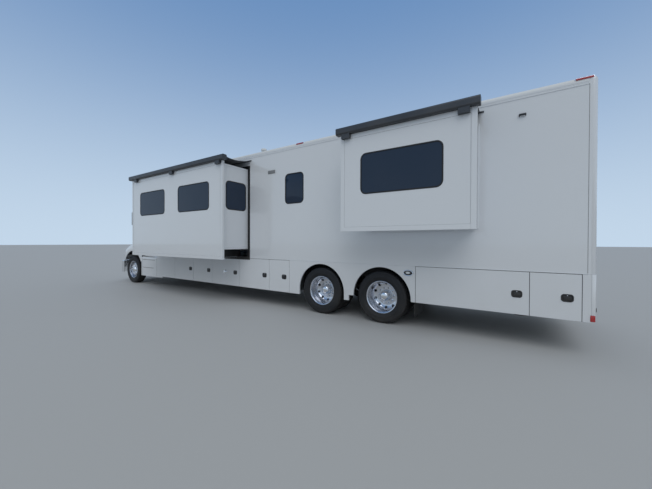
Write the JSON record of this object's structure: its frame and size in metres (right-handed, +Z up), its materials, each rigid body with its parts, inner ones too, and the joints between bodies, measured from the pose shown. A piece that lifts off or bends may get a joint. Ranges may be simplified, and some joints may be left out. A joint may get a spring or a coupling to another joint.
{
  "type": "motorhome with a conventional truck cab",
  "caption": "Long motorhome coach body on a truck chassis with a tilting hood, twin rear axles with twin tyres, slide-out rooms, hinged bay doors and an entry door.",
  "frame": {"origin": "on the ground at the middle of the whole vehicle's length and width, slide-outs and mirrors included", "axes": "+X forward, +Y to the driver's side, +Z up"},
  "size_m": [13.76, 3.685, 3.975],
  "materials": {
    "body_white": "gloss white gelcoat",
    "roof_white": "satin white",
    "tinted_glass": "dark tinted",
    "cab_glass": "lightly tinted",
    "clear_lens": "clear",
    "lamp_lens": "gloss red",
    "charcoal": "satin charcoal",
    "black_plastic": "textured",
    "polished_aluminium": "polished",
    "chrome": "plated",
    "tyre": "matte",
    "chassis": "semi-gloss black",
    "axle_black": "painted black",
    "cast_iron": "rough",
    "bay_liner": "brushed sheet",
    "air_unit_shell": "moulded",
    "awning_case": "powder coated",
    "cab_trim": "woven and moulded trim"
  },
  "bodies": {
    "coach": {"chassis_frame": "chassis", "engine": "cast_iron", "drive_axles": "axle_black", "front_axle": "axle_black", "storage_bays": "bay_liner", "floor": "bay_liner", "left_wall": "body_white", "right_wall": "body_white", "roof": "roof_white", "rear_wall": "body_white", "nose_cap": "body_white", "skirt_panels": "body_white", "cab_shell": "body_white", "windows": "tinted_glass", "front_bumper": "chrome", "mirrors": "black_plastic", "air_units": "air_unit_shell", "lamps": "lamp_lens", "patio_awning": "awning_case", "cab_interior": "cab_trim"},
    "hood": {"hood": "body_white", "grille": "chrome", "headlamps": "clear_lens"},
    "cab_door_left": {"cab_door_left": "body_white", "cab_glass_left": "cab_glass"},
    "cab_door_right": {"cab_door_right": "body_white", "cab_glass_right": "cab_glass"},
    "knuckle_left": {"knuckle_left": "axle_black"},
    "knuckle_right": {"knuckle_right": "axle_black"},
    "wheel_front_left": {"tyre_front_left": "tyre", "wheel_front_left": "polished_aluminium"},
    "wheel_front_right": {"tyre_front_right": "tyre", "wheel_front_right": "polished_aluminium"},
    "wheel_rear_1_left": {"tyre_rear_1_left": "tyre", "wheel_rear_1_left": "polished_aluminium"},
    "wheel_rear_1_right": {"tyre_rear_1_right": "tyre", "wheel_rear_1_right": "polished_aluminium"},
    "wheel_rear_2_left": {"tyre_rear_2_left": "tyre", "wheel_rear_2_left": "polished_aluminium"},
    "wheel_rear_2_right": {"tyre_rear_2_right": "tyre", "wheel_rear_2_right": "polished_aluminium"},
    "slide_front": {"slide_front_room": "body_white", "slide_front_glass": "tinted_glass", "slide_front_topper": "charcoal"},
    "slide_rear": {"slide_rear_room": "body_white", "slide_rear_glass": "tinted_glass", "slide_rear_topper": "charcoal"},
    "entry_door": {"entry_door": "body_white", "entry_glass": "tinted_glass"},
    "bay_door_left_1": {"bay_door_left_1": "body_white"},
    "bay_door_left_2": {"bay_door_left_2": "body_white"},
    "bay_door_left_3": {"bay_door_left_3": "body_white"},
    "bay_door_left_4": {"bay_door_left_4": "body_white"},
    "bay_door_left_5": {"bay_door_left_5": "body_white"},
    "bay_door_left_6": {"bay_door_left_6": "body_white"},
    "bay_door_left_7": {"bay_door_left_7": "body_white"},
    "bay_door_right_1": {"bay_door_right_1": "body_white"},
    "bay_door_right_2": {"bay_door_right_2": "body_white"}
  },
  "joints": [
    {"name": "hood_tilt", "type": "hinge", "parent": "coach", "child": "hood", "pos_m": [6.74, -0.3225, 0.84], "axis": [0, 1, 0], "range_deg": [0, 60]},
    {"name": "cab_door_left_swing", "type": "hinge", "parent": "coach", "child": "cab_door_left", "pos_m": [4.88, 0.8275, 1.035], "axis": [0, 0, -1], "range_deg": [0, 65]},
    {"name": "cab_door_right_swing", "type": "hinge", "parent": "coach", "child": "cab_door_right", "pos_m": [4.88, -1.4725, 1.035], "axis": [0, 0, 1], "range_deg": [0, 65]},
    {"name": "steer_left", "type": "hinge", "parent": "coach", "child": "knuckle_left", "pos_m": [5.637, 0.6075, 0.48], "axis": [0, 0, 1], "range_deg": [-35, 35]},
    {"name": "steer_right", "type": "hinge", "parent": "coach", "child": "knuckle_right", "pos_m": [5.637, -1.2525, 0.48], "axis": [0, 0, 1], "range_deg": [-35, 35]},
    {"name": "roll_front_left", "type": "hinge", "parent": "knuckle_left", "child": "wheel_front_left", "pos_m": [5.637, 0.8125, 0.48], "axis": [0, 1, 0], "continuous": true},
    {"name": "roll_front_right", "type": "hinge", "parent": "knuckle_right", "child": "wheel_front_right", "pos_m": [5.637, -1.4575, 0.48], "axis": [0, 1, 0], "continuous": true},
    {"name": "roll_rear_1_left", "type": "hinge", "parent": "coach", "child": "wheel_rear_1_left", "pos_m": [-3.883, 0.8125, 0.48], "axis": [0, 1, 0], "continuous": true},
    {"name": "roll_rear_1_right", "type": "hinge", "parent": "coach", "child": "wheel_rear_1_right", "pos_m": [-3.883, -1.4575, 0.48], "axis": [0, 1, 0], "continuous": true},
    {"name": "roll_rear_2_left", "type": "hinge", "parent": "coach", "child": "wheel_rear_2_left", "pos_m": [-2.563, 0.8125, 0.48], "axis": [0, 1, 0], "continuous": true},
    {"name": "roll_rear_2_right", "type": "hinge", "parent": "coach", "child": "wheel_rear_2_right", "pos_m": [-2.563, -1.4575, 0.48], "axis": [0, 1, 0], "continuous": true},
    {"name": "slide_front_travel", "type": "slide", "parent": "coach", "child": "slide_front", "axis": [0, 1, 0], "range_m": [-0.732, 0]},
    {"name": "slide_rear_travel", "type": "slide", "parent": "coach", "child": "slide_rear", "axis": [0, 1, 0], "range_m": [-0.602, 0]},
    {"name": "entry_door_swing", "type": "hinge", "parent": "coach", "child": "entry_door", "pos_m": [3.44, -1.6175, 0.56], "axis": [0, 0, 1], "range_deg": [0, 90]},
    {"name": "bay_door_left_1_swing", "type": "hinge", "parent": "coach", "child": "bay_door_left_1", "pos_m": [-6.117, 0.9725, 0.46], "axis": [0, 0, -1], "range_deg": [0, 90]},
    {"name": "bay_door_left_2_swing", "type": "hinge", "parent": "coach", "child": "bay_door_left_2", "pos_m": [-4.519, 0.9725, 0.46], "axis": [0, 0, -1], "range_deg": [0, 90]},
    {"name": "bay_door_left_3_swing", "type": "hinge", "parent": "coach", "child": "bay_door_left_3", "pos_m": [-1.113, 0.9725, 0.355], "axis": [0, 0, -1], "range_deg": [0, 90]},
    {"name": "bay_door_left_4_swing", "type": "hinge", "parent": "coach", "child": "bay_door_left_4", "pos_m": [-0.073, 0.9725, 0.355], "axis": [0, 0, -1], "range_deg": [0, 90]},
    {"name": "bay_door_left_5_swing", "type": "hinge", "parent": "coach", "child": "bay_door_left_5", "pos_m": [1.027, 0.9725, 0.355], "axis": [0, 0, -1], "range_deg": [0, 90]},
    {"name": "bay_door_left_6_swing", "type": "hinge", "parent": "coach", "child": "bay_door_left_6", "pos_m": [1.887, 0.9725, 0.355], "axis": [0, 0, -1], "range_deg": [0, 90]},
    {"name": "bay_door_left_7_swing", "type": "hinge", "parent": "coach", "child": "bay_door_left_7", "pos_m": [2.867, 0.9725, 0.355], "axis": [0, 0, -1], "range_deg": [0, 90]},
    {"name": "bay_door_right_1_swing", "type": "hinge", "parent": "coach", "child": "bay_door_right_1", "pos_m": [-4.519, -1.6175, 0.46], "axis": [0, 0, 1], "range_deg": [0, 90]},
    {"name": "bay_door_right_2_swing", "type": "hinge", "parent": "coach", "child": "bay_door_right_2", "pos_m": [-0.123, -1.6175, 0.355], "axis": [0, 0, 1], "range_deg": [0, 90]}
  ],
  "couplings": [
    {"joint": "steer_right", "follows": "steer_left", "ratio": 1}
  ]
}
